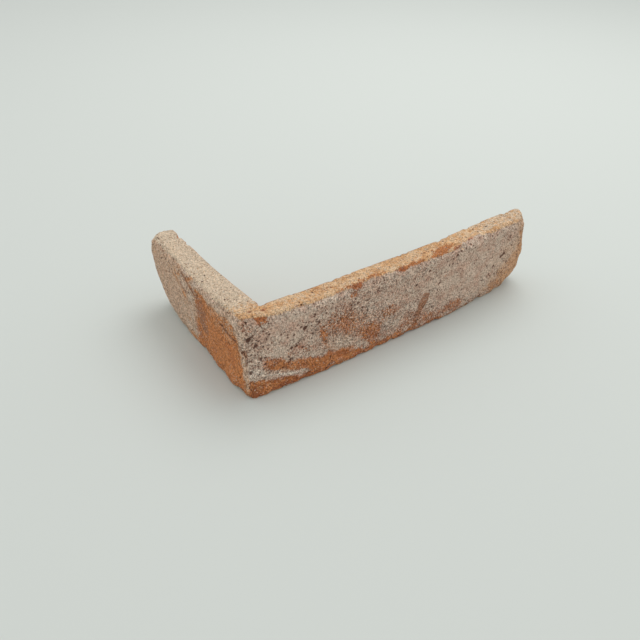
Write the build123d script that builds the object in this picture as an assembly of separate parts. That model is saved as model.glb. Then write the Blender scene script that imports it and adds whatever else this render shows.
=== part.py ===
from build123d import *
import math
import os

os.makedirs("parts", exist_ok=True)

# A corner brick slip: one old fired-clay brick with its inside sawn away, so that an L of two
# outer faces and two part-ends is left. The model is made the same way: first the whole worn
# brick, then the larger chips in its arrises, then the saw cuts behind its two faces.
#
# Millimetres, +Z up. The long leg (the stretcher) lies along X with its outer face towards -Y,
# the short leg (the header) lies along Y with its outer face towards -X, and the slip rests on
# its lower bed at Z = 0. The origin is the middle of the box's base; the brick is drawn with the
# near corner of its box at zero and moved there at the end.

# Driving dimensions: the box that the brick filled before it was worn, and where the saw passed
STRETCHER_LENGTH = 243.4
HEADER_LENGTH = 133.0
BED_HEIGHT = 57.0
STRETCHER_THICKNESS = 17.5
HEADER_THICKNESS = 19.5

# Wear of the outer faces: how far the surface lies inside the box at even stations, from the
# near corner outwards, along the foot of the face and along its top
STRETCHER_WEAR_FOOT = (2.0, 0.6, 1.2, 1.2, 4.6)
STRETCHER_WEAR_TOP = (3.6, 4.0, 2.2, 0.0, 1.5)
HEADER_WEAR_FOOT = (2.2, 1.0, 1.8, 3.8, 4.0, 4.6)
HEADER_WEAR_TOP = (1.6, 0.4, 0.8, 1.8, 2.4, 2.6)

# Wear of the upper bed: how far it lies below the box's top, along each leg from the near corner
BED_WEAR_STRETCHER = (1.8, 1.8, 3.0, 2.4, 3.0, 2.8, 1.3, 0.0, 1.5)
BED_WEAR_HEADER = (0.0, 0.4, 1.5, 1.2, 0.0)

# The worn upright corners, at even stations from the lower bed to the upper one. The near corner
# has lost a bevel from the stretcher's side, which widens upwards. The two far corners are
# rounded, most of all at the foot, the stretcher's end is hollow above its middle, and the
# header's leans in under its bulge.
BEVEL_ALONG_STRETCHER = (14.0, 16.0, 18.0, 20.0, 21.0)
BEVEL_ALONG_HEADER = (4.5, 6.0, 8.0, 10.0, 12.0)
STRETCHER_END_RADIUS = (36.0, 18.0, 13.0, 19.0, 27.0)
STRETCHER_END_SETBACK = (0.6, 0.5, 1.8, 2.1, 0.0)
HEADER_END_RADIUS = (36.0, 16.0, 8.0, 5.0, 9.0)
HEADER_END_SETBACK = (8.0, 4.5, 1.0, 0.0, 1.5)
NEAR_ARRIS_REACH = 3.0
BEVEL_EDGE_REACH = 7.0
HIDDEN_CORNER_RADIUS = 15.0

# The worn arrises round the beds: how far in they draw the outline, and how far up they reach
LOWER_ARRIS_DEPTH = 1.4
LOWER_ARRIS_REACH = 3.0
UPPER_ARRIS_DEPTH = 2.3
UPPER_ARRIS_REACH = 5.0

# Chips, each the shallow bite of a sphere: how big the sphere is and how deep it goes in. Those
# along a leg's arris lie at a share of the leg's length, those in the near arris at a share of
# the height.
STRETCHER_FOOT_CHIPS = ((0.84, 14.0, 1.3),)
STRETCHER_TOP_CHIPS = ((0.48, 16.0, 1.2), (0.69, 13.0, 1.1), (0.75, 16.0, 1.3))
HEADER_FOOT_CHIPS = ((0.11, 12.0, 1.9), (0.76, 14.0, 1.0))
HEADER_TOP_CHIPS = ((0.30, 16.0, 0.8),)
NEAR_ARRIS_CHIPS = ((0.24, 5.0, 1.1),)
BACK_CORNER_CHIP = (12.0, 3.2)

# How closely the outlines are drawn: points along each side, points round each corner, and
# outlines between the beds, which lie closest together near the two arrises
FRONT_POINTS = 9
SIDE_POINTS = 7
END_POINTS = 4
BACK_POINTS = 8
CORNER_POINTS = 3
OUTLINES = 12
BED_GRID = 3
SPARE_HEIGHT = 5.0

# How far the saw runs past the brick
SAW_OVERRUN = 10.0


def mix(low, high, share):
    return low + (high - low) * share


def between(start, end, share):
    """The point at a share of the way from one plan point to another."""
    return (mix(start[0], end[0], share), mix(start[1], end[1], share))


def eased(values, share):
    """The value at a share of the way along even stations, eased from each one to the next."""
    place = min(max(share, 0.0), 1.0) * (len(values) - 1)
    index = min(int(place), len(values) - 2)
    return mix(values[index], values[index + 1], (1 - math.cos(math.pi * (place - index))) / 2)


def bed_height(x, y):
    """Height of the uneven upper bed above the lower one."""
    along = eased(BED_WEAR_STRETCHER, x / STRETCHER_LENGTH)
    across = eased(BED_WEAR_HEADER, y / HEADER_LENGTH)
    return BED_HEIGHT - along - across


def front_depth(share, rise):
    """How far the stretcher's face lies inside the box."""
    return mix(eased(STRETCHER_WEAR_FOOT, share), eased(STRETCHER_WEAR_TOP, share), rise)


def side_depth(share, rise):
    """How far the header's face lies inside the box."""
    return mix(eased(HEADER_WEAR_FOOT, share), eased(HEADER_WEAR_TOP, share), rise)


def worn_corner(before, corner, after):
    """Points round a corner that wear has taken off, from one face to the next."""
    points = []
    for i in range(CORNER_POINTS + 1):
        share = i / CORNER_POINTS
        points.append(between(between(before, corner, share), between(corner, after, share), share))
    return points


def straight(start, end, count):
    """Points between two corners on a side that is sawn off, so that it needs no wear."""
    return [between(start, end, i / count) for i in range(1, count)]


def outline(rise, inset):
    """The whole brick's outline at one height, anticlockwise from the near arris.

    rise is the share of the way up from the lower bed, and inset draws every side in.
    """
    front_near = front_depth(0, rise) + inset
    front_far = front_depth(1, rise) + inset
    side_near = side_depth(0, rise) + inset
    side_far = side_depth(1, rise) + inset
    far_x = STRETCHER_LENGTH - eased(STRETCHER_END_SETBACK, rise) - inset
    far_y = HEADER_LENGTH - eased(HEADER_END_SETBACK, rise) - inset
    end_radius = eased(STRETCHER_END_RADIUS, rise)
    side_radius = eased(HEADER_END_RADIUS, rise)

    # the near corner: its sharp arris with the header's face, then the bevel's softer edge
    arris = (side_near, eased(BEVEL_ALONG_HEADER, rise))
    side_start = (side_near, arris[1] + NEAR_ARRIS_REACH)
    bevel_edge = (eased(BEVEL_ALONG_STRETCHER, rise), front_near)
    front_start = (bevel_edge[0] + BEVEL_EDGE_REACH, front_near)
    bevel_length = math.dist(arris, bevel_edge)
    points = worn_corner(side_start, arris, between(arris, bevel_edge, NEAR_ARRIS_REACH / bevel_length))
    edge_start = between(bevel_edge, arris, BEVEL_EDGE_REACH / bevel_length)
    points += worn_corner(edge_start, bevel_edge, front_start)

    # the stretcher's face, then its end
    front_end = far_x - end_radius
    for i in range(1, FRONT_POINTS):
        share = i / FRONT_POINTS
        points.append((mix(front_start[0], front_end, share), front_depth(share, rise) + inset))
    end_start = (far_x, front_far + end_radius)
    points += worn_corner((front_end, front_far), (far_x, front_far), end_start)

    # the two sides and the corner that the saw takes off
    hidden_start = (far_x, far_y - HIDDEN_CORNER_RADIUS)
    hidden_end = (far_x - HIDDEN_CORNER_RADIUS, far_y)
    back_end = (side_far + side_radius, far_y)
    points += straight(end_start, hidden_start, END_POINTS)
    points += worn_corner(hidden_start, (far_x, far_y), hidden_end)
    points += straight(hidden_end, back_end, BACK_POINTS)

    # the header's end, then its face back to the near arris
    side_end = far_y - side_radius
    points += worn_corner(back_end, (side_far, far_y), (side_far, side_end))
    for i in range(SIDE_POINTS - 1, 0, -1):
        share = i / SIDE_POINTS
        points.append((side_depth(share, rise) + inset, mix(side_start[1], side_end, share)))
    return points


def closed_wire(places):
    return Wire([Spline(*places, periodic=True)])


def arris_inset(distance, depth, reach):
    """How far a worn arris draws the outline in, at a distance from its bed."""
    return depth * max(0.0, 1 - distance / reach) ** 2


def section(share):
    """The brick's outline at a share of the way up to the upper bed, following that bed's waves."""
    height = share * BED_HEIGHT
    inset = arris_inset(height, LOWER_ARRIS_DEPTH, LOWER_ARRIS_REACH)
    inset += arris_inset(BED_HEIGHT - height, UPPER_ARRIS_DEPTH, UPPER_ARRIS_REACH)
    return closed_wire([Vector(x, y, share * bed_height(x, y)) for x, y in outline(share, inset)])


def worn_sides():
    """A loft through the outlines, which ends in a flat one above the upper bed."""
    shares = [(1 - math.cos(math.pi * i / OUTLINES)) / 2 for i in range(OUTLINES + 1)]
    top = BED_HEIGHT + SPARE_HEIGHT
    cap = closed_wire([Vector(x, y, top) for x, y in outline(1.0, UPPER_ARRIS_DEPTH)])
    return Solid.make_loft([section(share) for share in shares] + [cap])


def under_the_bed():
    """Everything under the uneven upper bed, as a block that the brick is trimmed with."""
    columns = BED_GRID * len(BED_WEAR_STRETCHER)
    rows = BED_GRID * len(BED_WEAR_HEADER)
    grid = []
    for i in range(columns + 1):
        x = mix(-SAW_OVERRUN, STRETCHER_LENGTH + SAW_OVERRUN, i / columns)
        line = []
        for j in range(rows + 1):
            y = mix(-SAW_OVERRUN, HEADER_LENGTH + SAW_OVERRUN, j / rows)
            line.append(Vector(x, y, bed_height(x, y)))
        grid.append(line)
    sheet = Face.make_surface_from_array_of_points(grid)
    return Solid.extrude(sheet, Vector(0, 0, -2 * BED_HEIGHT))


def bite(place, outward, radius, depth):
    """A chip: a sphere that reaches a depth into the clay from a place on an arris."""
    return Pos(place + outward.normalized() * (radius - depth)) * Sphere(radius)


def chips():
    """The larger chips along the arrises, and the one at the back of the header's end."""
    bites = []
    for share, radius, depth in STRETCHER_FOOT_CHIPS:
        arris = Vector(share * STRETCHER_LENGTH, front_depth(share, 0), 0)
        bites.append(bite(arris, Vector(0, -1, -1), radius, depth + LOWER_ARRIS_DEPTH / 2))
    for share, radius, depth in STRETCHER_TOP_CHIPS:
        x, y = share * STRETCHER_LENGTH, front_depth(share, 1)
        arris = Vector(x, y, bed_height(x, y))
        bites.append(bite(arris, Vector(0, -1, 1), radius, depth + UPPER_ARRIS_DEPTH / 2))
    for share, radius, depth in HEADER_FOOT_CHIPS:
        arris = Vector(side_depth(share, 0), share * HEADER_LENGTH, 0)
        bites.append(bite(arris, Vector(-1, 0, -1), radius, depth + LOWER_ARRIS_DEPTH / 2))
    for share, radius, depth in HEADER_TOP_CHIPS:
        x, y = side_depth(share, 1), share * HEADER_LENGTH
        arris = Vector(x, y, bed_height(x, y))
        bites.append(bite(arris, Vector(-1, 0, 1), radius, depth + UPPER_ARRIS_DEPTH / 2))
    for rise, radius, depth in NEAR_ARRIS_CHIPS:
        arris = Vector(side_depth(0, rise), eased(BEVEL_ALONG_HEADER, rise), rise * BED_HEIGHT)
        bites.append(bite(arris, Vector(-1, -1, 0), radius, depth))
    end_y = HEADER_LENGTH - HEADER_END_SETBACK[-1]
    back_corner = Vector(HEADER_THICKNESS, end_y, bed_height(HEADER_THICKNESS, end_y))
    bites.append(bite(back_corner, Vector(1, 1, 1), *BACK_CORNER_CHIP))
    return bites


def sawn_block():
    """What the saw takes out: everything behind the two legs."""
    length = STRETCHER_LENGTH - HEADER_THICKNESS + SAW_OVERRUN
    width = HEADER_LENGTH - STRETCHER_THICKNESS + SAW_OVERRUN
    block = Box(length, width, 3 * BED_HEIGHT, align=(Align.MIN, Align.MIN, Align.CENTER))
    return Pos(HEADER_THICKNESS, STRETCHER_THICKNESS, 0) * block


worn_brick = worn_sides() & under_the_bed()
corner_slip = worn_brick - sawn_block()
for chip in chips():
    corner_slip -= chip
corner_slip = Pos(-STRETCHER_LENGTH / 2, -HEADER_LENGTH / 2, 0) * corner_slip
export_step(corner_slip, "parts/corner_slip.step")
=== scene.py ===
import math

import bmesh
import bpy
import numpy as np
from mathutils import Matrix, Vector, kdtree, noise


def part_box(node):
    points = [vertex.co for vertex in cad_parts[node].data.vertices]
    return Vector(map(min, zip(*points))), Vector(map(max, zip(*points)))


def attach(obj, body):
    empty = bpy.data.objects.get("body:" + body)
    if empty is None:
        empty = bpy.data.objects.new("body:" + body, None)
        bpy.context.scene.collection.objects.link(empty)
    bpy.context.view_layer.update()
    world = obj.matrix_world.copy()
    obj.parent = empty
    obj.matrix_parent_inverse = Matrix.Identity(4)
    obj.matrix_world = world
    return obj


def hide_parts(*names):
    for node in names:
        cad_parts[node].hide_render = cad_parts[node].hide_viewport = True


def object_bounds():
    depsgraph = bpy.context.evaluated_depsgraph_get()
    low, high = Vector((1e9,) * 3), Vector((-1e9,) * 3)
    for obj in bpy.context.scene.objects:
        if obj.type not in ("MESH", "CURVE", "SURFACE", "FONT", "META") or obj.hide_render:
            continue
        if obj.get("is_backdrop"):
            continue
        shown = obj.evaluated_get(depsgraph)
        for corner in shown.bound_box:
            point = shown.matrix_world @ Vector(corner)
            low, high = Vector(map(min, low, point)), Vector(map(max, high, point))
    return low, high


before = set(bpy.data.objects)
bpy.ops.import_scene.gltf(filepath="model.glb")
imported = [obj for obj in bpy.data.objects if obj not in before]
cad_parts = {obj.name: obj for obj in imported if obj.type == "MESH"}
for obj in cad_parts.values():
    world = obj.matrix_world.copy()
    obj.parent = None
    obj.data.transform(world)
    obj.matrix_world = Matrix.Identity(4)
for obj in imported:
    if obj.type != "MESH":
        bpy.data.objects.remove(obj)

# %% [markdown]
# # A corner brick slip
#
# A corner slip is what is left of an old fired brick once a saw has taken out its inside: two
# outer faces that meet at one corner of the brick, each a couple of centimetres thick. It is glued
# round the corner of a wall, so that the wall looks like solid brickwork.
#
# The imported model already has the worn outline, the waves of the beds and the larger chips. What
# this script adds is everything that makes the clay look like clay: crumbled arrises, pits, sand
# grains, a patchy wash of old lime, rusty stains, and the plain sawn backs.

MM = 0.001
cad_low, cad_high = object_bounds()
slip_low, slip_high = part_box("corner_slip")
print("the slip is", [round((high - low) / MM, 1) for low, high in zip(slip_low, slip_high)], "mm")

# %% [markdown]
# ## Where things are on the slip
#
# Places on the slip are easiest to name as a bricklayer would measure them: millimetres from the
# brick's near corner along the long face (the stretcher), millimetres from it along the short face
# (the header), and millimetres above the lower bed. Everything below uses these three numbers.

# %% Measures from the near corner
STRETCHER_THICKNESS = 17.5
HEADER_THICKNESS = 19.5


def from_corner(points):
    """Points in metres, as millimetres from the near corner of the slip's box."""
    return (points - np.array(slip_low)) / MM


print("the legs are", STRETCHER_THICKNESS, "and", HEADER_THICKNESS, "mm thick")

# %% [markdown]
# ## The camera
#
# The camera stands where the photographer stood: about half a metre away, in front of the near
# corner, looking down at both faces. A camera's matrix is built from three directions. Working
# them out from the turn, the tilt and the roll keeps those three readable, where an Euler triple
# would hide them.

# %% The camera
CAMERA_PLACE = Vector((-0.2742, -0.3346, 0.2804))
CAMERA_TURN = math.radians(37.0)
CAMERA_TILT = math.radians(35.3)
CAMERA_ROLL = math.radians(1.57)
CAMERA_LENS = 39.4
SENSOR_WIDTH = 36.0
NEAREST_SEEN = 0.01


def camera_matrix(place, turn, tilt, roll):
    """The matrix of a camera that looks along a turn from +Y, tilted down and rolled."""
    ahead = Vector((
        math.sin(turn) * math.cos(tilt),
        math.cos(turn) * math.cos(tilt),
        -math.sin(tilt),
    ))
    level = Vector((math.cos(turn), -math.sin(turn), 0))
    over = level.cross(ahead)
    right = math.cos(roll) * level + math.sin(roll) * over
    up = math.cos(roll) * over - math.sin(roll) * level
    return Matrix.Translation(place) @ Matrix((right, up, -ahead)).transposed().to_4x4()


camera_data = bpy.data.cameras.new("camera")
camera_data.sensor_width = SENSOR_WIDTH
camera_data.lens = CAMERA_LENS
camera_data.clip_start = NEAREST_SEEN
camera = bpy.data.objects.new("camera", camera_data)
camera.matrix_world = camera_matrix(CAMERA_PLACE, CAMERA_TURN, CAMERA_TILT, CAMERA_ROLL)
bpy.context.scene.collection.objects.link(camera)
bpy.context.scene.camera = camera
print("the camera is", round(CAMERA_PLACE.length, 3), "m from the middle of the slip's base")

# %% [markdown]
# ## The clay's mesh
#
# Relief needs points to move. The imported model's mesh has long thin triangles on its flat faces,
# so it can't take any. A voxel remesh turns the same solid into an even skin of small quads, all
# about as large as a coarse grain of sand. Anything finer than that is left to the material.

# %% An even skin of small quads
SKIN_SIZE = 0.88 * MM
WELD = 0.01 * MM


def welded_copy(source, name):
    """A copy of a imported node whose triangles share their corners."""
    copy = bpy.data.objects.new(name, source.data.copy())
    bpy.context.scene.collection.objects.link(copy)
    welder = bmesh.new()
    welder.from_mesh(copy.data)
    bmesh.ops.remove_doubles(welder, verts=welder.verts, dist=WELD)
    welder.to_mesh(copy.data)
    welder.free()
    return copy


def apply_modifiers(piece):
    """Replaces a piece's mesh with what its modifiers make of it."""
    shown = piece.evaluated_get(bpy.context.evaluated_depsgraph_get())
    made = bpy.data.meshes.new_from_object(shown)
    piece.modifiers.clear()
    piece.data = made


clay = welded_copy(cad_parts["corner_slip"], "worn_corner_slip")
remesh = clay.modifiers.new("skin", "REMESH")
remesh.mode = "VOXEL"
remesh.voxel_size = SKIN_SIZE
apply_modifiers(clay)
mesh = clay.data
print("the skin has", len(mesh.vertices), "points and", len(mesh.polygons), "quads")

# %% [markdown]
# ## Which side a point is on
#
# The two outer faces, the beds and the sawn backs each look different, so each point needs to know
# its side. Its normal says that: how far it points out of a side is that side's share, softened so
# that the sides blend over the worn arrises. The sawn backs point the other way, inwards, and lie
# on the planes that the saw cut.

# %% Shares of each side
SIDE_EDGE = (0.35, 0.8)
PLANE_SLACK = 0.9


def read_points(attribute):
    """A vector attribute of the skin's points as rows of an array."""
    rows = np.empty(len(mesh.vertices) * 3)
    mesh.vertices.foreach_get(attribute, rows)
    return rows.reshape(-1, 3)


def smooth_step(low, high, values):
    """0 below low, 1 above high, and an eased slope between them."""
    share = np.clip((values - low) / (high - low), 0, 1)
    return share * share * (3 - 2 * share)


def side_share(outward):
    """How far points belong to a side, from how far their normals point out of it."""
    return smooth_step(*SIDE_EDGE, outward)


places = read_points("co")
normals = read_points("normal")
along, across, up = from_corner(places).T

front = side_share(-normals[:, 1])
side = side_share(-normals[:, 0])
bed = side_share(normals[:, 2])
under = side_share(-normals[:, 2])
stretcher_back = side_share(normals[:, 1]) * (np.abs(across - STRETCHER_THICKNESS) < PLANE_SLACK)
header_back = side_share(normals[:, 0]) * (np.abs(along - HEADER_THICKNESS) < PLANE_SLACK)
sawn = np.maximum(stretcher_back, header_back)
ends = np.clip(side_share(normals[:, 0]) + side_share(normals[:, 1]) - sawn, 0, 1)
print("sawn share of the skin:", round(float(sawn.mean()), 2), "ends:", round(float(ends.mean()), 2))

# %% [markdown]
# ## Noise that the script can measure
#
# Noise on the mesh's points could come from a displacement texture, but then the script couldn't
# use the same noise for the colour. Here it is worked out once for each point, with its grain
# given in millimetres. A different start for each use keeps the patterns apart, and there is
# nothing random in it, so every run gives the same brick.

# %% Fractal noise in millimetres
OCTAVE_FALL = 1.0
OCTAVE_STEP = 2.0
SHIFT_STEPS = (1, 1.7, -0.6)
measures = np.stack([along, across, up], 1)


def fractal(grain, octaves, start):
    """Noise between about -1 and 1 at every point, with its largest lumps a grain across."""
    shift = Vector([start * step for step in SHIFT_STEPS])
    return np.array([
        noise.fractal(
            Vector(row) + shift, OCTAVE_FALL, OCTAVE_STEP, octaves, noise_basis="PERLIN_ORIGINAL"
        )
        for row in measures / grain
    ])


print("the noise is worked out at", len(measures), "points")

# %% [markdown]
# ## Relief of the worn faces
#
# A hand-moulded brick is never flat: the mould's sand leaves it grainy, and a century of weather
# takes the skin off in shallow hollows. Three layers of noise make that, from waves as wide as a
# finger to single coarse grains. A saw leaves a back that is nearly flat, with faint marks where
# each tooth passed, along wide arcs about the middle of the blade.

# %% Layers of relief
WORN_LAYERS = ((16.0, 0.30), (6.0, 0.24), (2.6, 0.17))
SAWN_LAYERS = ((18.0, 0.05), (2.4, 0.04))
RELIEF_OCTAVES = 2
BLADE_RADIUS = 300.0
TOOTH_MARK = 2.6
TOOTH_DEPTH = 0.05


def layered(layers, start, start_step):
    """The sum of layers of noise, each with a grain and a depth in millimetres."""
    return sum(
        depth * fractal(grain, RELIEF_OCTAVES, start + start_step * layer)
        for layer, (grain, depth) in enumerate(layers)
    )


worn_relief = layered(WORN_LAYERS, start=0.0, start_step=7.0)
blade_distance = np.hypot(along + across - BLADE_RADIUS / 3, up + BLADE_RADIUS)
saw_mark = np.sin(2 * math.pi * blade_distance / TOOTH_MARK)
sawn_relief = layered(SAWN_LAYERS, start=40.0, start_step=1.0) + TOOTH_DEPTH * saw_mark
relief = worn_relief * (1 - sawn) + sawn_relief * sawn
print("relief runs from", round(float(relief.min()), 2), "to", round(float(relief.max()), 2), "mm")

# %% [markdown]
# ## Pits and crumbled arrises
#
# Small stones and straw in the clay burn out or fall out, and leave pits. The arrises crumble in
# the same way, but more often, because a grain there is held on two sides only. Both are the same
# operation: pick a point of the skin, and press in all its neighbours within a radius, most of
# all in the middle.
#
# A pit looks darkest in its middle, where shade falls into it, in a spot smaller than the quads,
# and that shade is painted into the colour. So each point also keeps how far it lies inside the
# nearest spot of painted shade, in millimetres. That number is a plain slope, which stays exact
# between points, and the material can cut a crisp round spot out of it.

# %% Pressing hollows into the skin
SPOT_MARGIN = 1.6
FAR_FROM_A_SPOT = -2.0
# how wide the spot of painted shade in a pit's middle is, as a share of the pit's radius
FACE_SPOT = 0.8
SMALL_SPOT = 0.6
NO_SPOT = 0
finder = kdtree.KDTree(len(places))
for index, place in enumerate(places):
    finder.insert(place, index)
finder.balance()
hollow = np.zeros(len(places))
# how far each point lies inside a pit's spot of painted shade, in millimetres
pit_shade_spot = np.full(len(places), FAR_FROM_A_SPOT)


def press(place, radius, depth, spot):
    """Presses a round hollow of a depth into the skin, with a spot of painted shade a share as wide.
    """
    for _, index, distance in finder.find_range(place, (radius + SPOT_MARGIN) * MM):
        share = max(0, 1 - (distance / (radius * MM)) ** 2)
        hollow[index] = max(hollow[index], depth * share)
        pit_shade_spot[index] = max(pit_shade_spot[index], spot * radius - distance / MM)


def press_at(place, radius, depth, spot):
    """Presses a hollow at the skin's nearest point to a place measured from the corner."""
    nearest, _, _ = finder.find(Vector(slip_low) + Vector(place) * MM)
    press(nearest, radius, depth, spot)


print("the tree that finds neighbours holds", len(places), "points")

# %% [markdown]
# ### The pits that stand out
#
# No two old bricks have the same pits, and the eye knows this one by its largest. Those are placed
# one by one, each with two measures on its face, a radius and a depth. The notches in the arrises
# have three measures, because an arris belongs to two faces, and no dark spot, because they are
# open and the light reaches into them.

# %% The pits that stand out
STRETCHER_PITS = (
    (1.5, 42, 1.9, 1.6), (7, 37, 1.5, 1.2), (16, 43, 1.2, 0.9), (28, 38, 1.2, 0.9),
    (33, 37, 1.3, 1.0), (41, 38, 2.0, 1.5), (38, 40, 1.3, 1.0), (46, 32, 1.2, 0.9),
    (51, 38, 1.4, 1.0), (31, 28, 1.4, 1.0), (35, 28, 1.3, 1.0), (39, 25, 1.3, 0.9),
    (30, 20, 1.4, 1.0), (88, 33, 1.3, 1.0), (80, 41, 1.2, 0.9), (103, 15, 1.3, 0.9),
    (104, 35, 1.2, 0.9), (150, 32, 1.3, 0.9), (181, 37, 1.2, 0.9), (204, 27, 1.6, 1.1),
    (207, 19, 1.5, 1.1), (211, 32.5, 2.0, 1.1), (213.5, 33.5, 1.7, 1.0), (216, 47, 1.2, 0.9),
    (2, 20, 1.6, 1.2), (197, 1, 1.8, 1.2), (159, 47.5, 1.3, 0.8), (162, 50, 1.5, 0.9),
    (166, 52, 1.4, 0.9), (170, 53.5, 1.3, 0.8), (164, 46, 1.1, 0.7), (168, 47.5, 1.1, 0.7),
    (173, 48.5, 1.2, 0.8), (133, 43, 1.2, 0.8), (139, 44.5, 1.3, 0.8), (129, 37.5, 1.3, 0.9),
    (201, 21, 1.1, 0.8), (199, 19, 1.1, 0.7), (128, 24, 1.0, 0.7), (125, 17, 1.1, 0.8),
    (129, 13, 1.0, 0.7), (96, 45, 1.2, 0.9), (70, 48, 1.2, 0.9), (64, 44, 1.1, 0.8),
    (12, 46, 1.2, 0.8), (10, 28, 1.4, 0.9), (13, 24, 1.2, 0.8),
)
HEADER_PITS = ((44, 21, 1.4, 0.8), (62, 44, 1.6, 0.9), (83, 44, 1.3, 0.7), (95, 40, 1.3, 0.7))
BED_PITS = (
    (10.5, 15, 1.6, 0.9), (18, 12.5, 1.8, 1.0), (60, 8, 1.0, 0.7), (92, 10, 1.1, 0.7),
    (162.5, 2.6, 1.5, 0.9), (165.5, 3.4, 1.3, 0.8), (176.5, 5.2, 1.3, 0.8), (179, 5.8, 1.2, 0.7),
)
ARRIS_NOTCHES = (
    # the upper arrises: the header's far back corner, then the stretcher's front
    (19.5, 118, 57, 3.0, 2.0),
    (163, 1, 54, 3.0, 1.0), (168, 2, 54, 2.2, 0.9), (174, 2, 54, 2.6, 0.8), (181, 3, 54, 2.2, 0.8),
    # the foot of the stretcher and of the header
    (62, 2, 0, 4.0, 0.9), (84, 1, 0, 4.5, 0.8), (97, 1, 0, 3.0, 0.7), (126, 1, 0, 5.0, 0.8),
    (196, 2, 0, 4.0, 0.8), (2, 28, 0, 3.0, 0.8), (2, 62, 0, 4.0, 0.7), (3, 88, 0, 4.0, 0.8),
    (3, 112, 4, 4.0, 0.8), (0, 107, 19, 5.0, 1.2), (0, 103, 14, 5.0, 0.9), (1, 34, 0, 5.0, 1.0),
    (2, 45, 0, 4.0, 0.9), (215, 2, 0, 4.0, 0.9), (150, 1, 0, 4.0, 0.7), (40, 1, 0, 4.0, 0.7),
)
ABOVE_THE_BED = 60

# each of these pits also gets a spot of painted shade in its middle
for x, z, radius, depth in STRETCHER_PITS:
    press_at((x, 0, z), radius, depth, FACE_SPOT)
for y, z, radius, depth in HEADER_PITS:
    press_at((0, y, z), radius, depth, SMALL_SPOT)
for x, y, radius, depth in BED_PITS:
    press_at((x, y, ABOVE_THE_BED), radius, depth, SMALL_SPOT)
for x, y, z, radius, depth in ARRIS_NOTCHES:
    press_at((x, y, z), radius, depth, NO_SPOT)
placed_pits = len(STRETCHER_PITS) + len(HEADER_PITS) + len(BED_PITS)
print(placed_pits, "pits and", len(ARRIS_NOTCHES), "notches are placed by hand")

# %% [markdown]
# ### A crack on the header
#
# A crack opened while the brick dried or was fired, and runs from the near arris up the header. It
# could be cut out of the mesh, but a crack in clay is a row of crumbled grains, so a chain of very
# small pits along a bent line looks more like one. A sine lets the line wander a little.

# %% A crack on the header
CRACK = ((38, 41.8), (31, 40), (20.6, 37.4), (12.8, 35.1), (9.8, 32.9), (3.8, 29.6), (0.8, 26.4))
CRACK_STEP = 1.1
CRACK_RADIUS = 0.9
CRACK_DEPTH = 0.7
CRACK_WANDER = 0.5
WANDER_TURNS = 2.1
crack_length = 0
# each small pit along the crack also gets a spot of painted shade
for (y, z), (next_y, next_z) in zip(CRACK, CRACK[1:]):
    stretch = math.hypot(next_y - y, next_z - z)
    crack_length += stretch
    steps = max(1, round(stretch / CRACK_STEP))
    for step in range(steps):
        part = step / steps
        wander = CRACK_WANDER * math.sin(WANDER_TURNS * (y + part))
        place = (0, y + part * (next_y - y), z + part * (next_z - z) + wander)
        press_at(place, CRACK_RADIUS, CRACK_DEPTH, SMALL_SPOT)
print("the crack is", round(crack_length), "mm long")

# %% [markdown]
# ### Scattered pits and crumbs
#
# The rest is too much to place, so a seeded draw picks points of the skin. Each point has its own
# chance. Pits come mostly on the stretcher's face, and most of all near the corner. Crumbs take
# nearly every point of the arrises first. That is only a few hundred points, so most of the draw
# is left over and falls thinly on the whole skin, the sawn backs too, where a saw tears out grains.
# The size is a random number squared, which gives many small hollows and few large ones.

# %% The chance of a pit and of a crumb
FLAT_EDGE = (0.35, 0.9)
CORNER_MIDDLE = (8, 30)
CORNER_SPREAD_SQUARED = (400, 500)
CHANCE_ANYWHERE = 0.25
CORNER_CHANCE = 3
END_CALM = 0.7
LEAST_CRUMB_CHANCE = 1e-4
flatness = np.maximum.reduce([front, side, bed, under, sawn, ends])
arris = 1 - smooth_step(*FLAT_EDGE, flatness)
from_middle = (along - CORNER_MIDDLE[0]) ** 2 / CORNER_SPREAD_SQUARED[0]
from_middle += (up - CORNER_MIDDLE[1]) ** 2 / CORNER_SPREAD_SQUARED[1]
corner_wear = np.exp(-from_middle) * front
pit_chance = CHANCE_ANYWHERE + front + CORNER_CHANCE * corner_wear
pit_chance = pit_chance * (1 - sawn) * (1 - arris) * (1 - END_CALM * ends)
crumb_chance = arris ** 2 + LEAST_CRUMB_CHANCE
print("the arrises take", round(float(arris.mean() * 100), 1), "% of the skin")

# %% The scattered pits and crumbs
SEED = 1907
PIT_COUNT = 800
PIT_RADII = (0.9, 1.8)
PIT_DEPTHS = (0.25, 0.8)
PIT_SPOT = 0.3
CRUMB_COUNT = 1700
CRUMB_RADII = (1.0, 3.0)
CRUMB_DEPTHS = (0.2, 1.0)
HOLLOW_THAT_SHOWS = 0.1
draw = np.random.default_rng(SEED)


def scatter(count, chance, radii, depths, spot):
    """Presses hollows at drawn points, where the chance of each point is given."""
    for index in draw.choice(len(places), count, replace=False, p=chance / chance.sum()):
        size = draw.random() ** 2
        radius = radii[0] + (radii[1] - radii[0]) * size
        depth = depths[0] + (depths[1] - depths[0]) * size
        press(places[index], radius, depth, spot)


# the drawn pits get a spot of painted shade in their middles, PIT_SPOT of their radius wide
scatter(PIT_COUNT, pit_chance, PIT_RADII, PIT_DEPTHS, PIT_SPOT)
scatter(CRUMB_COUNT, crumb_chance, CRUMB_RADII, CRUMB_DEPTHS, NO_SPOT)
covered = (hollow > HOLLOW_THAT_SHOWS).mean()
print("hollows cover", round(float(covered * 100)), "% of the skin")

# %% [markdown]
# ## Moving the points
#
# The relief and the hollows move each point along its own normal. Two softer forms go with them:
# the header's upper back edge is rubbed down in its middle, and the upper bed swells a little
# towards the stretcher's far end. The slip has to rest flat, so nothing goes lower than its lower
# bed. Elsewhere the relief may stand out a little, and the last cell prints by how much.

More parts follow.
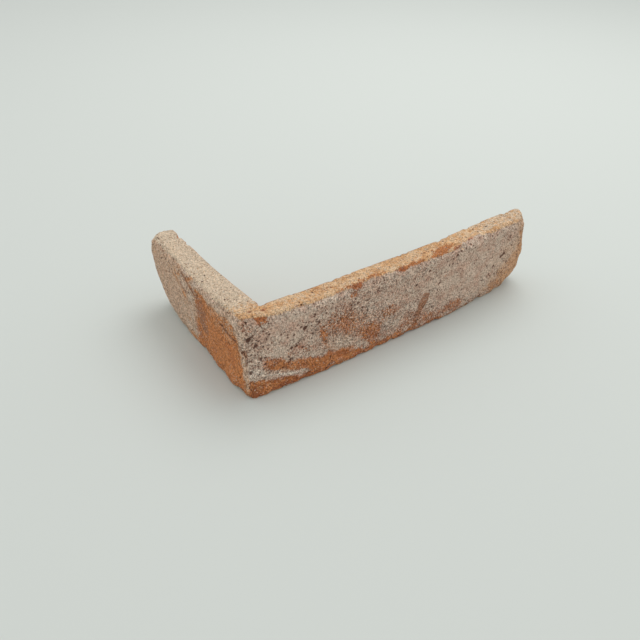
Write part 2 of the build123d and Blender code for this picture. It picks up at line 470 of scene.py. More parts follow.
# %% Moving the points
RUBBED_FROM = (22, 40)
RUBBED_TO = (84, 98)
RUBBED_DEPTH = 0.5
RUBBED_REACH = 3.5
BACK_EDGE_HEIGHT = 55
SWELL_ALONG = (210, 236)
SWELL_HEIGHT = 1.0


def along_edge(u, v, reach):
    """1 on an edge, from a point's two distances to it, and fading within a reach."""
    return np.exp(-(u ** 2 + v ** 2) / reach ** 2)


rubbed_share = smooth_step(*RUBBED_FROM, across) * (1 - smooth_step(*RUBBED_TO, across))
back_edge = along_edge(along - HEADER_THICKNESS, up - BACK_EDGE_HEIGHT, RUBBED_REACH)
back_wear = RUBBED_DEPTH * rubbed_share * back_edge
far_swell = SWELL_HEIGHT * bed * smooth_step(*SWELL_ALONG, along)
outward = relief - hollow - back_wear + far_swell
moved = places + normals * (outward * MM)[:, None]
moved[:, 2] = np.maximum(moved[:, 2], slip_low.z)
mesh.vertices.foreach_set("co", moved.ravel())
mesh.update()
mesh.shade_smooth()
print("points move by", round(float(outward.min()), 2), "to", round(float(outward.max()), 2), "mm")

# %% [markdown]
# ## Painting the lime, the rust and the bare clay
#
# The pale wash on the faces is old lime mortar and sand that has stuck in the clay's pores. It is
# gone where something rubbed, so it lies in patches. Each patch is one dab: an ellipse on a face
# with a weight, positive where there is more of the finish and negative where there is less. The
# dabs add up to one soft number for each point, a field, and later the material cuts that number
# with fine noise, which gives the patches their ragged, speckled edges.

# %% Dabs on a face
DAB_SOFTNESS = (0.5, 1.3)
DAB_RAGGEDNESS = 0.35
RAGGED_GRAIN = 7.0
ragged = DAB_RAGGEDNESS * fractal(RAGGED_GRAIN, octaves=3, start=90.0)


def dabs(u, v, *strokes):
    """The sum of dabs: each has a middle, half a length and half a height, a turn and a weight."""
    total = np.zeros(len(u))
    for middle_u, middle_v, reach, rise, turn, weight in strokes:
        cosine, sine = math.cos(math.radians(turn)), math.sin(math.radians(turn))
        du = (u - middle_u) * cosine + (v - middle_v) * sine
        dv = (v - middle_v) * cosine - (u - middle_u) * sine
        distance = np.hypot(du / reach, dv / rise) + ragged
        total += weight * (1 - smooth_step(*DAB_SOFTNESS, distance))
    return total


def write_field(name, values):
    """Keeps one number for each point as an attribute, which the material reads by its name."""
    field = mesh.attributes.new(name, "FLOAT", "POINT")
    field.data.foreach_set("value", values.astype(np.float32))
    print(name, "runs from", round(float(values.min()), 2), "to", round(float(values.max()), 2))


write_field("sawn", sawn)
write_field("saw_mark", saw_mark * sawn)
write_field("hollow", hollow)
write_field("pit_shade_spot", pit_shade_spot)

# %% [markdown]
# ### Where the lime lies
#
# The stretcher's face is limed nearly all over, so its field starts above zero and most dabs take
# lime away. The header's is bare orange clay at the corner, so it starts well below and dabs add
# lime. The wear on the upper arris lets the lime of the face lap a little over onto the bed.

# %% Lime on the stretcher's face
STRETCHER_START = 0.6
stretcher_lime = STRETCHER_START + dabs(
    along, up,
    # bare orange clay: the foot, the band above it, and under the pale tongue
    (50, 0, 66, 6.5, -2, -1.5), (100, 0, 36, 6.5, 0, -1.2), (19, 21.5, 9, 4.5, -28, -1.1),
    (37, 13.7, 19, 4.4, -17, -1.3), (7, 5, 10, 9, 0, -1.2), (66, 8.5, 15, 5.5, -8, -1.3),
    (150, 0, 46, 3.5, 0, -0.9), (22, 7, 20, 3.4, -10, -1.3), (50, 8, 9, 3.4, -15, -1.2),
    # bare spots near the upper arris
    (13, 54, 4, 4.4, 0, -1.5), (79, 54, 6, 4, -10, -1.4), (77, 49, 3, 3, 0, -0.9),
    # rubbed zones, where clay and lime mix
    (64, 31, 13, 8, -10, -0.38), (78, 27, 14, 7, -30, -0.34), (91, 15, 9, 9, -30, -0.85),
    (108, 25.5, 8, 4.5, -15, -0.6), (55, 25.5, 9, 2.4, -74, -0.7), (84, 28, 40, 18, -10, -0.3),
    (166, 9, 12, 5, 0, -0.85), (146, 6, 14, 4, 0, -0.6), (2, 50, 6, 7, 0, -0.5),
    (242, 12, 39, 31, 0, -0.7), (208, 5, 16, 6, 0, -0.2), (36, 24, 14, 5, -10, -0.35),
    (118, 8, 24, 5, 0, -0.4), (242, 45, 18, 16, 0, -0.4),
    # the scar, and the rubbed clay under it
    (135, 20, 7.5, 3.0, 55, -0.9), (130, 12, 12, 7, 0, -0.4), (86, 29, 26, 9, 0, 0.12),
    # thick lime: smooth places, the tongue, the streak and the lump over the foot
    (25, 44, 13, 9, 0, 0.3), (21, 30, 10, 5, 0, 0.3), (67, 18, 12, 4, -25, 0.65),
    (48, 51, 26, 4, 0, 0.3), (27, 10.8, 15, 1.1, -18, 1.0), (7, 17, 5, 4, -20, 0.9),
    (97, 36, 13, 6, 0, 0.35), (108.5, 15, 8, 4.5, 0, 0.6), (182, 34, 46, 22, 0, 0.2),
)
limed = (front * (stretcher_lime > 0)).sum() / front.sum()
print("lime lies on", round(float(limed * 100)), "% of the stretcher's face")

# %% Lime on the header's face and on the ends
HEADER_START = -1.2
END_LIME = 0.1
LEAST_SHARE = 1e-3
LEAST_FACE = 0.3
header_lime = HEADER_START + dabs(
    across, up,
    # the far third, paler at its foot, with brown streaks through it
    (112, 26, 48, 48, 0, 1.6), (95, 14, 22, 14, 0, 0.5), (76, 14, 9, 8, 0, 0.5),
    (72, 46, 15, 2.4, 20, -0.8), (86, 36, 12, 2.0, 40, -0.4), (98, 44, 10, 2.0, 30, -0.3),
    # the strip along the upper arris, and the one down the near arris to the foot
    (46, 52.5, 38, 5.5, 4, 1.75), (7, 45, 15, 12, 10, 1.3), (1.5, 28, 3.8, 17, 0, 1.5),
    (72, 42, 14, 9, 0, 0.7), (10, 38, 15, 5, 63, 0.9), (8, 22, 24, 4.4, 82, 1.5),
    # sand that clings below the strip, and the rubbed zone between the orange and the pale clay
    (34, 42, 24, 9, 28, 0.7), (70, 36, 15, 20, 0, 0.55),
)
face_share = front + side + ends + LEAST_SHARE
lime = (front * stretcher_lime + side * header_lime + ends * END_LIME) / face_share
lime = np.where(face_share < LEAST_FACE, stretcher_lime, lime)
write_field("lime", lime)

# %% [markdown]
# ### Sand on the beds
#
# The mould was dusted with sand, and it stayed on the beds, because no weather reaches them in a
# wall. On the header's leg and at the far end it is cream, and on the rest of the stretcher's leg
# mostly ochre, with burnt patches towards the front. A second field says where a bed's look gives
# way to a face's. It is a field, and not the normal itself, so that lime can lap over the arris.

# %% Cream sand on the beds
BED_START = -0.25
HEADER_LEG_EDGE = (16, 42)
HEADER_LEG_CREAM = 1.15
FAR_END_EDGE = (170, 205)
FAR_END_CREAM = 0.5
bed_sand = BED_START + HEADER_LEG_CREAM * smooth_step(*HEADER_LEG_EDGE, across)
bed_sand += FAR_END_CREAM * smooth_step(*FAR_END_EDGE, along)
bed_sand += dabs(
    along, across,
    (152, 5, 13, 3.6, 14, -1.1), (122, 3, 14, 2.8, 0, -1.0), (138, 8, 20, 4, 10, -0.3),
    (84, 5, 22, 4, 0, -0.6), (62, 13, 8, 4, 0, -0.4), (12, 70, 8, 18, 0, -0.3),
    (6, 104, 10, 12, 0, -0.3), (206, 4, 16, 3, 0, -0.4), (10, 24, 10, 10, 0, 0.3),
)
lime_over_arris = dabs(
    along, across,
    (178, 2, 18, 4.5, 0, 0.8), (92, 1, 27, 4.5, 0, 0.75), (30, 0, 16, 3, 0, 0.5),
)
write_field("sand", bed_sand)
write_field("level", np.clip(bed * (1 - lime_over_arris) + under, 0, 1))

# %% [markdown]
# ### Rust, brown stains and painted shade along the crack
#
# Iron in the clay reddens where the fire reached it, at the foot, in bare spots and round the
# pits. Brown is clay that burnt darker or holds dirt: the scar in the middle of the stretcher's
# face, a smudge at its far end, and streaks on the header. Two more streaks in the same brown run
# along the crack: they are painted shade of the small ledge there. They are two fields, because
# they lie in different places and each has its own colour.

# %% Rust
rust = front * dabs(
    along, up,
    (79, 54, 6, 4, -10, 1.0), (13, 54, 3, 4, 0, 0.4), (132, 14, 7, 5, 0, 0.4),
    (1, 50, 4, 5, 0, 0.6), (70, 2, 60, 3, 0, 0.4), (16, 2, 16, 4, 0, 0.5),
    (34, 27, 7, 3, 0, 0.5), (84, 25, 20, 9, -25, 0.3), (66, 29, 10, 5, 0, 0.3),
)
rust += side * dabs(
    across, up,
    (58, 34, 8, 12, -12, 0.35), (60, 40, 3, 3, 0, 0.4), (65, 15, 6, 8, 0, 0.5),
    (30, 3, 34, 5, 0, 0.25),
)
rust += bed * dabs(
    along, across,
    (164, 3, 5, 1.8, 10, 0.9), (177.5, 5, 4.5, 1.4, 12, 0.8), (116, 3, 6, 2.5, 0, 0.8),
    (10.5, 15.5, 2, 1.4, 0, 0.9), (18, 13, 2.4, 1.5, 0, 0.9),
)
write_field("rust", np.clip(rust, 0, 1))

# %% Brown stains, and painted shade along the crack
MOST_BROWN = 1.5
brown_and_ledge_shade = front * dabs(
    along, up,
    (135, 20.5, 8.5, 3.9, 55, 1.8), (131, 11, 5, 4, 0, 0.4), (80, 26, 24, 9, -22, 0.14),
    (6, 36, 8, 14, 0, 0.34), (222, 53, 22, 5, 0, 0.22),
)
brown_and_ledge_shade += bed * dabs(along, across, (222, 4, 26, 6, 0, 0.29))
brown_and_ledge_shade += side * dabs(
    across, up,
    # the first two run along the crack and are painted shade of the ledge there; the rest are stains
    (25, 38.2, 14, 1.6, 16, 0.7), (7, 30.4, 8, 1.6, 35, 0.7), (74, 46, 13, 1.8, 20, 0.6),
    (57, 34, 8, 14, -12, 0.6), (30, 20, 30, 14, 0, 0.2), (84, 38, 10, 1.8, 40, 0.5),
)
write_field("brown_and_ledge_shade", np.clip(brown_and_ledge_shade, 0, MOST_BROWN))

# %% [markdown]
# ### Warm, rough and pitted places
#
# Three more fields vary the whole finish. Where the lime is thin and soaked with clay dust it is
# warmer: on the header, the ends, the stretcher's far end, and a few patches nearer its corner.
# Where lime fills the pores the surface is smooth, and where it was rubbed off the grains stand
# out. And the fine pits crowd round the corner, under the upper arris and by the scar, and are
# rare in the smooth places.

# %% Where the lime is warmer
END_WARMTH = 0.7
warm_front = dabs(
    along, up,
    (242, 12, 40, 32, 0, 1), (242, 45, 22, 18, 0, 1), (67, 17, 13, 6, -25, 0.5),
    (28, 16, 14, 5, -12, 0.5), (79, 28, 14, 8, -20, 0.35),
)
write_field("warm", np.clip(side + END_WARMTH * ends + front * warm_front, 0, 1))

# %% Where the surface is rough or smooth
SAWN_SMOOTHNESS = 0.6
END_SMOOTHNESS = 0.3
ROUGH_LIMITS = (0.3, 1.6)
rough = 1 + front * dabs(
    along, up,
    (32, 43, 19, 11, 0, -0.5), (21, 30, 10, 5, 0, -0.4), (182, 34, 52, 24, 0, -0.6),
    (66, 9, 18, 6, -6, -0.4), (240, 24, 22, 30, -20, -0.6), (84, 26, 36, 14, -15, 0.5),
    (16, 15, 12, 8, 0, 0.2), (132, 13, 12, 8, 0, 0.4),
)
rough += side * dabs(across, up, (34, 20, 25, 18, 0, -0.45), (105, 30, 30, 30, 0, -0.3))
rough -= SAWN_SMOOTHNESS * sawn + END_SMOOTHNESS * ends
write_field("rough", np.clip(rough, *ROUGH_LIMITS))

# %% Where the fine pits crowd
HIDDEN_PITTING = 0.3
STRETCHER_PITTING = 0.55
BED_PITTING = 0.12
FAR_BED_PITTING = 0.1
FAR_BED_EDGE = (185, 215)
stretcher_pitting = STRETCHER_PITTING + dabs(
    along, up,
    (28, 44, 15, 9, 0, -0.5), (22, 30, 9, 5, 0, -0.45), (105, 37, 14, 7, 0, -0.4),
    (185, 34, 40, 20, 0, -0.25), (5, 30, 8, 24, 0, 0.5), (85, 45, 26, 8, 0, 0.45),
    (50, 34, 16, 8, 0, 0.3), (140, 12, 14, 6, 0, 0.35), (16, 24, 8, 12, 0, 0.2),
    (131, 14, 9, 8, 0, 0.5), (172, 49, 14, 5, 0, 0.5), (126, 20, 5, 5, 0, 0.5),
    (135, 20, 6, 3, 55, -0.7),
)
header_pitting = dabs(across, up, (95, 34, 40, 30, 0, 0.35), (8, 30, 32, 5, 82, 0.4))
bed_pitting = BED_PITTING + FAR_BED_PITTING * smooth_step(*FAR_BED_EDGE, along)
pitting = front * stretcher_pitting + side * header_pitting + bed * bed_pitting
pitting += (under + ends + sawn) * HIDDEN_PITTING
all_shares = front + side + bed + under + ends + sawn + LEAST_SHARE
write_field("pitted", np.clip(pitting / all_shares, 0, 1))

# %% [markdown]
# ## Writing a material as sums
#
# A material is a graph, but most of it is plain arithmetic: this mask times that one, or one minus
# a mask. A small class wraps a socket, so that an expression in Python adds the Math nodes for it.
# Colours and vectors don't pass through Math nodes, because those would turn them grey: they go
# through Mix and Vector Math, which come from the same method as every other node.

# %% A socket that can be calculated with
class Wire:
    """One output of a node. Arithmetic on it adds Math nodes behind it."""

    def __init__(self, paint, socket):
        self.paint = paint
        self.socket = socket

    def math(self, operation, *values):
        sockets = dict(enumerate(values))
        return self.paint.node("ShaderNodeMath", {"operation": operation}, sockets)

    def __add__(self, other):
        return self.math("ADD", self, other)

    def __radd__(self, other):
        return self.math("ADD", other, self)

    def __sub__(self, other):
        return self.math("SUBTRACT", self, other)

    def __rsub__(self, other):
        return self.math("SUBTRACT", other, self)

    def __mul__(self, other):
        return self.math("MULTIPLY", self, other)

    def __rmul__(self, other):
        return self.math("MULTIPLY", other, self)

    def less(self, other):
        """1 where it is less than another number, otherwise 0."""
        return self.math("LESS_THAN", self, other)

    def or_greater(self, other):
        """The greater of it and another number."""
        return self.math("MAXIMUM", self, other)

    def step(self, low, high):
        """0 below low, 1 above high, and an eased slope between them."""
        sockets = {"Value": self, "From Min": low, "From Max": high}
        return self.paint.node("ShaderNodeMapRange", {"interpolation_type": "SMOOTHSTEP"}, sockets)

    def channel(self, name):
        """One of a colour's three numbers."""
        return self.paint.node("ShaderNodeSeparateColor", {}, {"Color": self}, output=name)


# %% A material that nodes are added to
class Paint:
    """One material's nodes."""

    def __init__(self, name):
        self.material = bpy.data.materials.new(name)
        self.material.use_nodes = True
        self.tree = self.material.node_tree
        self.tree.nodes.clear()

    def node(self, kind, settings, sockets, output=0):
        """Adds a node, sets it up, fills its sockets, and gives one of its outputs."""
        made = self.tree.nodes.new(kind)
        for name, value in settings.items():
            setattr(made, name, value)
        for key, value in sockets.items():
            self.fill(self.find(made.inputs, key), value)
        return Wire(self, self.find(made.outputs, output)) if made.outputs else None

    def find(self, sockets, key):
        """A socket by its number or its name, among those that the node's settings leave in use."""
        used = [socket for socket in sockets if socket.enabled]
        if isinstance(key, str):
            return next(socket for socket in used if socket.name == key)
        return used[key]

    def fill(self, socket, value):
        """Links a wire to a socket, or sets the socket to a plain value."""
        if isinstance(value, Wire):
            self.tree.links.new(value.socket, socket)
        else:
            socket.default_value = value

    def field(self, name):
        """A number that was written onto the mesh's points."""
        return self.node("ShaderNodeAttribute", {"attribute_name": name}, {}, output="Fac")

    def blend(self, share, first, second):
        """One colour into another by a share."""
        sockets = {"Factor": share, "A": first, "B": second}
        return self.node("ShaderNodeMix", {"data_type": "RGBA"}, sockets)

    def scaled(self, vector, share):
        """A vector made longer or shorter by a share, or a colour brighter or darker."""
        return self.node("ShaderNodeVectorMath", {"operation": "SCALE"}, {0: vector, "Scale": share})

    def moved(self, vector, shift):
        """A vector moved by another."""
        return self.node("ShaderNodeVectorMath", {"operation": "ADD"}, {0: vector, 1: shift})

    def put_on(self, piece, sockets):
        """Ends the graph in a shader with some of its sockets filled, and dresses a piece in it."""
        shader = self.node("ShaderNodeBsdfPrincipled", {}, sockets)
        self.node("ShaderNodeOutputMaterial", {}, {"Surface": shader})
        piece.data.materials.clear()
        piece.data.materials.append(self.material)
        print(piece.name, "wears a material of", len(self.tree.nodes), "nodes")


# %% Colours as they look
def colour(red, green, blue):
    """A colour from its screen values of 0 to 255, as the linear one that a shader takes."""
    def linear(value):
        value /= 255
        return value / 12.92 if value <= 0.04045 else ((value + 0.055) / 1.055) ** 2.4
    return (linear(red), linear(green), linear(blue), 1.0)


# %% [markdown]
# ## The clay's material
#
# From below: the fired clay, orange with darker and paler clouds; the wash of lime over it; cream
# and ochre sand on the beds; rust; then dark pits and pale grains over everything. All the noise is
# measured in millimetres from the object's own coordinates, so that nothing has to be unwrapped.
#
# Two patterns are enough for all of it. Clouds are soft noise, and four sizes of them mottle every
# finish. Grains are single dots, one in each cell of a Voronoi pattern. The cells' plain circles
# would look printed, so the place that the pattern is read from wobbles first.

# %% Clouds in millimetres
clay_paint = Paint("fired_clay")
metres = clay_paint.node("ShaderNodeTexCoord", {}, {}, output="Object")
millimetres = clay_paint.scaled(metres, 1 / MM)


def cloud(grain, detail, roughness, shift):
    """Noise from 0 to 1 with lumps a grain across, in millimetres."""
    place = clay_paint.moved(millimetres, (shift,) * 3)
    sockets = {"Vector": place, "Scale": 1 / grain, "Detail": detail, "Roughness": roughness}
    return clay_paint.node("ShaderNodeTexNoise", {}, sockets)


coarse = cloud(9.0, detail=3.0, roughness=0.6, shift=11.0)
medium = cloud(3.2, detail=4.0, roughness=0.6, shift=23.0)
fine = cloud(1.6, detail=3.0, roughness=0.7, shift=31.0)
tiny = cloud(0.78, detail=2.0, roughness=0.7, shift=37.0)


def mottle(of_medium, of_fine, of_tiny):
    """Noise about zero: the three finer clouds, each by a weight."""
    return (medium - 0.5) * of_medium + (fine - 0.5) * of_fine + (tiny - 0.5) * of_tiny


print("the clouds take", len(clay_paint.tree.nodes), "nodes")

# %% Grains in millimetres
WOBBLE = 0.9
GRAIN_EDGE = (0.7, 1.05)
FAINTEST_GRAIN = 0.4
wobble = clay_paint.node(
    "ShaderNodeTexNoise", {}, {"Vector": millimetres, "Scale": 1.0, "Detail": 1.0}, output="Color"
)
wobbled = clay_paint.moved(millimetres, clay_paint.scaled(wobble, WOBBLE))


def cells(spacing, shift, output):
    """One output of a pattern of cells, a spacing apart in millimetres."""
    sockets = {"Vector": clay_paint.moved(wobbled, (shift,) * 3), "Scale": 1 / spacing}
    return clay_paint.node("ShaderNodeTexVoronoi", {}, sockets, output=output)


def grains(spacing, radius, share, shift):
    """A mask of uneven grains: one in each cell, in a share of the cells."""
    distance = cells(spacing, shift, "Distance") * (spacing / radius)
    drawn = cells(spacing, shift, "Color")
    strength = FAINTEST_GRAIN + (1 - FAINTEST_GRAIN) * drawn.channel("Green")
    return (1 - distance.step(*GRAIN_EDGE)) * drawn.channel("Red").less(share) * strength


def grit(spacing, shift):
    """A number from 0 to 1 that stays the same over each grain of sand, a spacing apart."""
    return cells(spacing, shift, "Color").channel("Blue")


# %% [markdown]
# ### The fired clay
#
# Old clay was mixed by hand, so no two handfuls had the same iron, and it shows as orange clouds a
# centimetre across with paler specks. One plain colour with noise on its brightness would miss
# that the pale parts are also yellower, so three colours are blended. The warm field lifts the
# clay where the lime is warmer too.

# %% The fired clay
CLAY_DEEP = colour(158, 92, 54)
CLAY = colour(188, 122, 74)
CLAY_PALE = colour(208, 152, 104)
CLAY_CLOUDS = (0.35, 0.6)
PALE_CLAY_CLOUDS = (0.5, 0.75)
warm_field = clay_paint.field("warm")
body = clay_paint.blend(coarse.step(*CLAY_CLOUDS) + 0.6 * warm_field, CLAY_DEEP, CLAY)
pale_share = medium.step(*PALE_CLAY_CLOUDS) * (1 - 0.5 * warm_field)
body = clay_paint.blend(pale_share, body, CLAY_PALE)
print("with the clay:", len(clay_paint.tree.nodes), "nodes")

# %% [markdown]
# ### The wash of lime
#
# Lime doesn't end at a line. First the clay only has a thin dusty film, then specks of lime join,
# then the wash is whole, and in the thickest places it is a pale crust. So the lime's field is
# roughened by noise and cut at three heights, and each cut blends in the next colour. The field
# sets where this happens, and the rough field how widely the specks spill over the edge.

# %% The wash of lime
FILM = colour(172, 124, 98)
FILM_TAN = colour(188, 145, 109)
LIME = colour(196, 175, 156)
LIME_PALE = colour(220, 205, 188)
LIME_ROSE = colour(184, 152, 132)
LIME_CREAM = colour(196, 165, 138)
LIME_MOTTLE = (1.1, 1.9, 3.0)
LIME_CLOUDS = (0.3, 0.6)
FILM_EDGE = (-0.6, -0.2)
WASH_EDGE = (-0.1, 0.2)
CRUST_EDGE = (0.8, 1.7)
lime_field = clay_paint.field("lime")
rough_field = clay_paint.field("rough")
cut = lime_field + mottle(*LIME_MOTTLE) * rough_field
wash = clay_paint.blend(coarse.step(*LIME_CLOUDS), LIME_ROSE, LIME)
wash = clay_paint.blend(warm_field * 0.7, wash, LIME_CREAM)
wash = clay_paint.blend(cut.step(*CRUST_EDGE) * (1 - 0.6 * warm_field), wash, LIME_PALE)
film = clay_paint.blend(warm_field, FILM, FILM_TAN)
faces = clay_paint.blend(cut.step(*FILM_EDGE), body, film)
faces = clay_paint.blend(cut.step(*WASH_EDGE), faces, wash)
print("with the lime:", len(clay_paint.tree.nodes), "nodes")

# %% [markdown]
# ### Sand on the beds
#
# The beds are made in the same way as the lime, from a field that is roughened and cut: burnt
# clay, then ochre sand in two tones, then cream sand. The beds could have a material of their own,
# but then they would meet the faces in a hard line. Here a roughened mask blends the two.

# %% Sand on the beds
OCHRE = colour(210, 178, 141)
OCHRE_DEEP = colour(199, 154, 109)
OCHRE_BURNT = colour(172, 112, 68)
CREAM = colour(203, 183, 158)
SAND_MOTTLE = (1.8, 2.4, 1.2)
OCHRE_CLOUDS = (0.42, 0.58)
OCHRE_EDGE = (-1.0, -0.6)
CREAM_EDGE = (-0.1, 0.5)
LEVEL_MOTTLE = (1.0, 1.3, 0.6)
LEVEL_EDGE = (0.4, 0.6)
sand_field = clay_paint.field("sand")
level_field = clay_paint.field("level")
sand_cut = sand_field + mottle(*SAND_MOTTLE)
ochre_share = (0.5 * coarse + 0.5 * medium).step(*OCHRE_CLOUDS)
ochre = clay_paint.blend(ochre_share, OCHRE_DEEP, OCHRE)
beds = clay_paint.blend(sand_cut.step(*OCHRE_EDGE), OCHRE_BURNT, ochre)
beds = clay_paint.blend(sand_cut.step(*CREAM_EDGE), beds, CREAM)
level_mask = (level_field + mottle(*LEVEL_MOTTLE)).step(*LEVEL_EDGE)
surface = clay_paint.blend(level_mask, faces, beds)
print("with the beds:", len(clay_paint.tree.nodes), "nodes")

# %% [markdown]
# ### Rust, and burnt clay with painted shade along the crack
#
# Both stains soak into whatever is on the surface, so they come over the lime and the sand, and
# neither covers quite all of it. The brown also carries the painted shade along the crack. The
# rust is blotchy and the brown has a closer edge, so the rust takes more of the coarser clouds.

# %% Rust, and burnt clay with painted shade along the crack
RUST = colour(158, 90, 58)
BROWN = colour(150, 107, 81)
RUST_MOTTLE = (2.0, 2.0, 0)
RUST_EDGE = (0.3, 0.75)
RUST_COVER = 0.7
BROWN_MOTTLE = (0, 1.0, 0.6)
BROWN_EDGE = (0.35, 0.6)
BROWN_COVER = 0.85
rust_mask = (clay_paint.field("rust") + mottle(*RUST_MOTTLE)).step(*RUST_EDGE)
surface = clay_paint.blend(rust_mask * RUST_COVER, surface, RUST)
# the brown stains, together with the painted shade along the crack
brown_and_ledge_shade_mask = (clay_paint.field("brown_and_ledge_shade") + mottle(*BROWN_MOTTLE)).step(*BROWN_EDGE)
surface = clay_paint.blend(brown_and_ledge_shade_mask * BROWN_COVER, surface, BROWN)
print("with the stains:", len(clay_paint.tree.nodes), "nodes")

# %% [markdown]
# ### The sawn backs
#
# A fresh cut shows the inside of the brick: even, pinkish and clean, with a small stone cut
# through here and there, and bands of light and shade where the teeth passed. No lime or stain
# reaches it, so its colour simply takes the place of everything below it.

# %% The sawn backs
SAWN_CLAY = colour(189, 133, 97)
SAWN_PALE = colour(196, 142, 106)
SAWN_STONE = colour(214, 184, 156)
SAWN_CLOUDS = (0.3, 0.7)
STONE_COVER = 0.6
BAND_STRENGTH = 0.05
sawn_field = clay_paint.field("sawn")
sawn_clay = clay_paint.blend(coarse.step(*SAWN_CLOUDS), SAWN_CLAY, SAWN_PALE)
stones = grains(spacing=5.0, radius=0.9, share=0.35, shift=91.0)
sawn_clay = clay_paint.blend(stones * STONE_COVER, sawn_clay, SAWN_STONE)
sawn_clay = clay_paint.scaled(sawn_clay, 1 + BAND_STRENGTH * clay_paint.field("saw_mark"))
surface = clay_paint.blend(sawn_field, surface, sawn_clay)
print("with the sawn backs:", len(clay_paint.tree.nodes), "nodes")

# %% [markdown]
# ### Grains of sand and pits
#
# Close to, the brick is all single grains. First each grain gets its own brightness, which alone
# makes the surface look sandy. Then come brown specks and pale grains of quartz, and pits in three
# sizes, painted dark with the shade that falls into them: two drawn by the pattern, and the ones
# that were pressed into the skin, whose spots of painted shade are cut from their field. The sawn
# backs keep only some of them, because a fresh cut is clean.

# %% The brightness of each grain
TONE_MOTTLE = (0, 0.4, 0.8)
GRIT_SPACING = 0.68
tone = 1 + rough_field * mottle(*TONE_MOTTLE)
grit_contrast = 0.55 + 0.5 * rough_field - 0.65 * sawn_field - 0.35 * level_field
tone = tone + (grit(GRIT_SPACING, shift=83.0) - 0.5) * grit_contrast
surface = clay_paint.scaled(surface, tone)
print("with the grit:", len(clay_paint.tree.nodes), "nodes")

# %% Specks, pale grains, and painted shade in the pits
# the colour of the painted shade in the pits
PAINTED_PIT_SHADE = colour(82, 46, 33)
SPECK_BROWN = colour(130, 85, 62)
GRAIN_PALE = colour(236, 226, 210)
GRAIN_COVER = 0.55
SPECK_COVER = 0.8
PIT_COVER = 0.95
SPOT_COVER = 0.85
SPOT_EDGE = (-0.15, 0.25)
SPOT_HOLLOW = (0.2, 0.7)
pitted_field = clay_paint.field("pitted")
off_the_saw = 1 - 0.7 * sawn_field
brown_specks = grains(spacing=1.1, radius=0.5, share=0.22 + 0.48 * pitted_field, shift=47.0)
small_pits = grains(spacing=1.9, radius=0.6, share=0.1 + 0.5 * pitted_field, shift=53.0)
large_pits = grains(spacing=2.7, radius=0.74, share=0.35 * pitted_field, shift=57.0)
pale_grains = grains(spacing=1.2, radius=0.5, share=0.3, shift=71.0)
pale_grains = pale_grains * (rough_field - 0.2).step(0.1, 0.7)
surface = clay_paint.blend(pale_grains * GRAIN_COVER, surface, GRAIN_PALE)
surface = clay_paint.blend(brown_specks * SPECK_COVER * off_the_saw, surface, SPECK_BROWN)
# the drawn pits are painted dark with their shade, and the bump below presses them in too
pit_mask = small_pits.or_greater(large_pits) * off_the_saw
surface = clay_paint.blend(pit_mask * PIT_COVER, surface, PAINTED_PIT_SHADE)
in_a_hollow = clay_paint.field("hollow").step(*SPOT_HOLLOW)
# the painted shade in the middle of each pit that was pressed into the skin
pit_shade_mask = clay_paint.field("pit_shade_spot").step(*SPOT_EDGE) * in_a_hollow * off_the_saw
surface = clay_paint.blend(pit_shade_mask * (SPOT_COVER - 0.35 * level_field), surface, PAINTED_PIT_SHADE)
print("with the pits:", len(clay_paint.tree.nodes), "nodes")

# %% [markdown]
# ### Grain in the relief, and the shader
#
# The skin's quads are as large as a coarse grain, so anything smaller has to be bump: the finest
# clouds, the pits and the pale grains, from the same nodes that colour them, so that a pit painted
# with shade is also a hollow one. Fired clay has no gloss at all, so the shader is very rough.

# %% Grain in the relief, and the shader
BUMP_REACH = 1.0 * MM
FINE_RISE = 0.8
TINY_RISE = 0.6
PIT_FALL = 0.6
GRAIN_RISE = 0.25
CLAY_ROUGHNESS = 0.92
CLAY_SHINE = 0.25
height = (fine * FINE_RISE + tiny * TINY_RISE) * rough_field * (1 - 0.6 * sawn_field)
height = height - pit_mask * PIT_FALL + pale_grains * GRAIN_RISE
bump = clay_paint.node(
    "ShaderNodeBump", {}, {"Strength": 1.0, "Distance": BUMP_REACH, "Height": height}
)
clay_paint.put_on(clay, {
    "Base Color": surface,
    "Roughness": CLAY_ROUGHNESS,
    "Specular IOR Level": CLAY_SHINE,
    "Normal": bump,
})

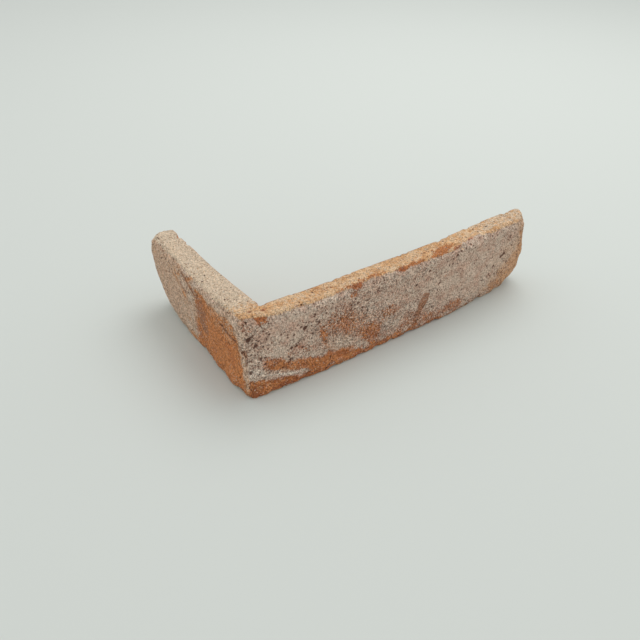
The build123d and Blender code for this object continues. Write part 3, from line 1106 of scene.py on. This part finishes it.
# %% [markdown]
# ## The floor and the light
#
# The slip lies on a pale board under a soft overhead light. One wide lamp above gives the faces
# less light than the bed and leaves a soft shadow round the foot, and a dim even sky keeps the
# shadows open.

# %% Floor
FLOOR_SPAN = 6.0
FLOOR_COLOUR = colour(204, 209, 204)
FLOOR_ROUGHNESS = 0.8
FLOOR_SHINE = 0.1
bpy.ops.mesh.primitive_plane_add(size=FLOOR_SPAN, location=(0, 0, slip_low.z))
floor = bpy.context.object
floor.name = "floor"
Paint("floor").put_on(floor, {
    "Base Color": FLOOR_COLOUR,
    "Roughness": FLOOR_ROUGHNESS,
    "Specular IOR Level": FLOOR_SHINE,
})
floor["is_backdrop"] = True

# %% Light
SKY_COLOUR = (1, 1, 1, 1)
SKY_STRENGTH = 0.84
LAMP_PLACE = Vector((0.55, 0.3, 1.1))
LAMP_SPAN = 1.0
LAMP_POWER = 5.5
world = bpy.data.worlds.new("sky")
world.use_nodes = True
sky = world.node_tree.nodes["Background"]
sky.inputs["Color"].default_value = SKY_COLOUR
sky.inputs["Strength"].default_value = SKY_STRENGTH
bpy.context.scene.world = world
lamp_data = bpy.data.lights.new("lamp", "AREA")
lamp_data.shape = "DISK"
lamp_data.size = LAMP_SPAN
lamp_data.energy = LAMP_POWER
lamp = bpy.data.objects.new("lamp", lamp_data)
lamp.location = LAMP_PLACE
lamp.rotation_euler = (-LAMP_PLACE).to_track_quat("-Z", "Y").to_euler()
bpy.context.scene.collection.objects.link(lamp)
print("the lamp is", round(LAMP_PLACE.length, 2), "m from the slip")

# %% [markdown]
# ## Handing over
#
# The dressed slip stands for the imported node and rides on the part's one body. Its box is measured
# against the imported model's, and the cell prints by how much the looks make it larger. The looks
# may hardly change the size.

# %% Handing over
bpy.context.scene.view_settings.view_transform = "Standard"
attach(clay, "root")
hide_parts("corner_slip")
seen_low, seen_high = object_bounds()
growth = [low - seen for low, seen in zip(cad_low, seen_low)]
growth += [seen - high for high, seen in zip(cad_high, seen_high)]
print("the looks make the box larger by", round(max(growth) / MM, 2), "mm at most")
